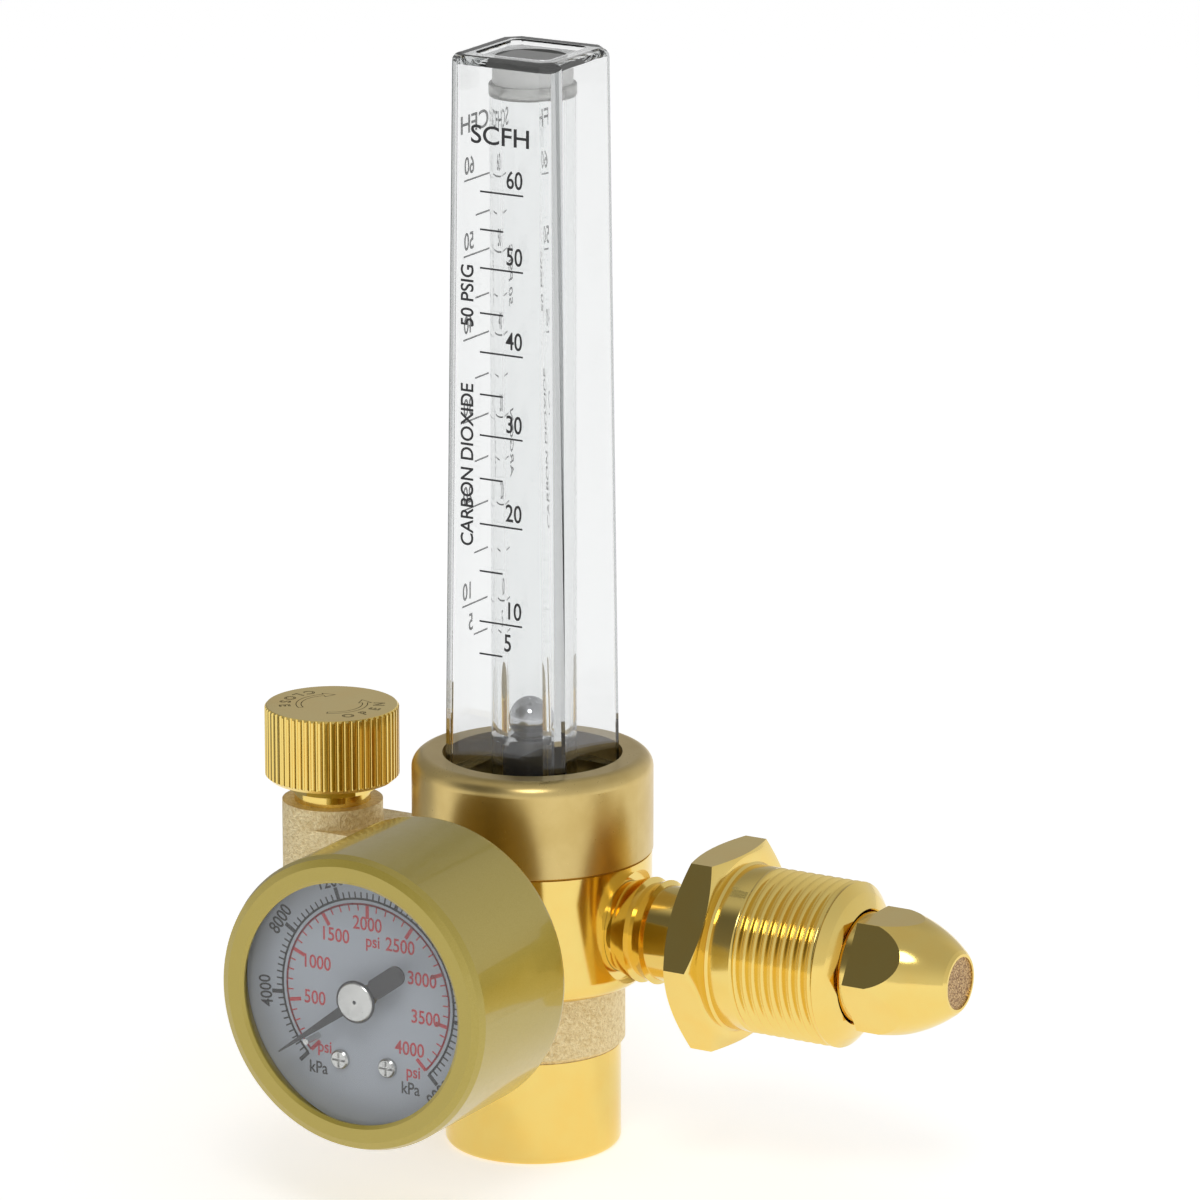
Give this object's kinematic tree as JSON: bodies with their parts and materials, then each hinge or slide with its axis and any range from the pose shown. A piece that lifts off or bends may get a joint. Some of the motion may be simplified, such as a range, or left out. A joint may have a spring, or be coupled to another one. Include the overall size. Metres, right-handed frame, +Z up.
{
  "type": "carbon dioxide regulator",
  "caption": "Brass gas regulator with a square clear ball flow tube on top, a round pressure gauge in front, a knurled flow knob, a cylinder inlet nut and a hose barb outlet.",
  "frame": {"origin": "on the flow tube's axis, at the underside of the bottom bonnet", "axes": "+Z up along the flow tube, +X along the cylinder inlet towards the cylinder valve, -Y the way the gauge faces"},
  "size_m": [0.1179, 0.1195, 0.1661],
  "materials": {
    "cast_brass": "sand-cast",
    "polished_brass": "polished",
    "satin_brass": "satin",
    "machined_brass": "machined",
    "bronze": "drawn",
    "sintered_bronze": "sintered",
    "gauge_paint": "gloss gold paint",
    "clear_plastic": "clear moulded",
    "white_plastic": "moulded",
    "seal_clear": "silicone",
    "black_rubber": "matte",
    "ball_steel": "polished",
    "spring_steel": "drawn",
    "dial_face": "printed",
    "pointer_black": "matte paint"
  },
  "bodies": {
    "regulator": {"body": "cast_brass", "bottom_bonnet": "polished_brass", "valve_gland": "polished_brass", "inlet_nipple": "polished_brass", "outlet_coupling": "polished_brass", "hose_barb": "polished_brass", "tube_collar": "satin_brass", "gauge_socket": "machined_brass", "bourdon_foot": "machined_brass", "movement_front_plate": "machined_brass", "movement_back_plate": "machined_brass", "movement_pillars": "machined_brass", "bourdon_tube": "bronze", "hairspring": "bronze", "inlet_filter": "sintered_bronze", "gauge_case": "gauge_paint", "gauge_bezel": "gauge_paint", "tube_cover": "clear_plastic", "metering_tube": "clear_plastic", "gauge_lens": "clear_plastic", "tube_plug": "white_plastic", "tube_top_seal": "seal_clear", "cover_o_ring": "black_rubber", "tube_gasket": "black_rubber", "stem_packing": "black_rubber", "ball_seat": "black_rubber", "regulating_spring": "spring_steel", "stop_pin": "spring_steel", "dial_screws": "spring_steel", "dial": "dial_face"},
    "inlet_nut": {"inlet_nut": "polished_brass"},
    "piston": {"piston": "machined_brass", "piston_o_ring": "black_rubber", "stem_o_ring": "black_rubber", "valve_seat": "white_plastic"},
    "needle": {"needle": "machined_brass"},
    "knob": {"knob": "polished_brass"},
    "float_ball": {"float_ball": "ball_steel"},
    "sector": {"sector_gear": "machined_brass"},
    "link": {"link": "machined_brass"},
    "pointer": {"pinion": "machined_brass", "pointer": "pointer_black", "pointer_hub": "spring_steel"}
  },
  "joints": [
    {"name": "nut_spin", "type": "hinge", "parent": "regulator", "child": "inlet_nut", "pos_m": [0.04, 0, 0.03586], "axis": [1, 0, 0], "continuous": true},
    {"name": "piston_stroke", "type": "slide", "parent": "regulator", "child": "piston", "axis": [0, 0, 1], "range_m": [0, 0.00095], "stiffness_N_per_m": 8000, "springref_m": -0.002, "deforming": ["regulating_spring"]},
    {"name": "needle_lift", "type": "slide", "parent": "regulator", "child": "needle", "axis": [0, 0, 1], "range_m": [0, 0.002]},
    {"name": "knob_turn", "type": "hinge", "parent": "needle", "child": "knob", "pos_m": [-0.035, 0, 0.057], "axis": [0, 0, 1], "range_deg": [0, 900.05]},
    {"name": "ball_rise", "type": "slide", "parent": "regulator", "child": "float_ball", "axis": [0, 0, 1], "range_m": [0, 0.089]},
    {"name": "sector_swing", "type": "hinge", "parent": "regulator", "child": "sector", "pos_m": [0.0063, -0.0416, 0.02447], "axis": [0, -1, 0], "range_deg": [0, 43.5], "stiffness_Nm_per_rad": 0.002, "deforming": ["hairspring", "bourdon_tube"]},
    {"name": "link_swing", "type": "hinge", "parent": "sector", "child": "link", "pos_m": [0.00942, -0.0392, 0.02267], "axis": [0, -1, 0], "range_deg": [-43.5, 0]},
    {"name": "pointer_turn", "type": "hinge", "parent": "regulator", "child": "pointer", "pos_m": [0, -0.0416, 0.03538], "axis": [0, 1, 0], "range_deg": [0, 261]}
  ],
  "couplings": [
    {"joint": "knob_turn", "follows": "needle_lift", "rad_per_m": 7854},
    {"joint": "pointer_turn", "follows": "sector_swing", "ratio": 6},
    {"joint": "link_swing", "follows": "sector_swing", "ratio": -1}
  ]
}
